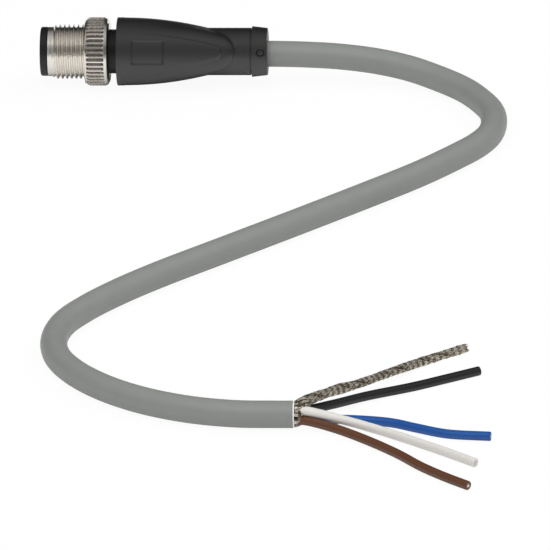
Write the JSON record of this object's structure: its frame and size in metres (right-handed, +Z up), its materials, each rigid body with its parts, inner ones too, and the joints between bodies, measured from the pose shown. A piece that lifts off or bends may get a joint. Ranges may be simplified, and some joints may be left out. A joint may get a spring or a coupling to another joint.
{
  "type": "circular connector with cable",
  "caption": "Straight male M12 connector, shielded, with knurled coupling screw, moulded grip and a cable stripped to its wires.",
  "frame": {"origin": "centre of the mating face, on the connector's axis", "axes": "+X along the connector from the mating face to the cable, +Z up from the surface it lies on, which is at z = -7.5 mm"},
  "size_m": [0.105, 0.2114, 0.015],
  "materials": {
    "nickel_plated_brass": "turned and nickel-plated",
    "spring_metal": "nickel-plated spring wire",
    "carrier_plastic": "moulded, satin",
    "gold_contact": "gold-plated",
    "tinned_copper": "braided tinned copper wire",
    "grip_plastic": "moulded, fine matt texture",
    "cable_jacket": "extruded, satin grey",
    "wire_brown": "extruded, satin",
    "wire_white": "extruded, satin",
    "wire_blue": "extruded, satin",
    "wire_black": "extruded, satin"
  },
  "bodies": {
    "plug": {"contact_carrier": "carrier_plastic", "contact_pin_1": "gold_contact", "contact_pin_2": "gold_contact", "contact_pin_3": "gold_contact", "contact_pin_4": "gold_contact", "shield_sleeve": "nickel_plated_brass", "braid_cuff": "tinned_copper", "crimp_ferrule": "nickel_plated_brass", "grip_body": "grip_plastic", "core_brown": "wire_brown", "core_white": "wire_white", "core_blue": "wire_blue", "core_black": "wire_black", "cable": "cable_jacket", "lead_brown": "wire_brown", "lead_white": "wire_white", "lead_blue": "wire_blue", "lead_black": "wire_black", "braid_pigtail": "tinned_copper"},
    "ring": {"contact_ring": "spring_metal"},
    "screw": {"coupling_screw": "nickel_plated_brass"}
  },
  "joints": [
    {"name": "screw_slide", "type": "slide", "parent": "plug", "child": "ring", "axis": [1, 0, 0], "range_m": [0, 0.00165]},
    {"name": "screw_turn", "type": "hinge", "parent": "ring", "child": "screw", "pos_m": [0.0126, 0, 0], "axis": [1, 0, 0], "continuous": true}
  ]
}
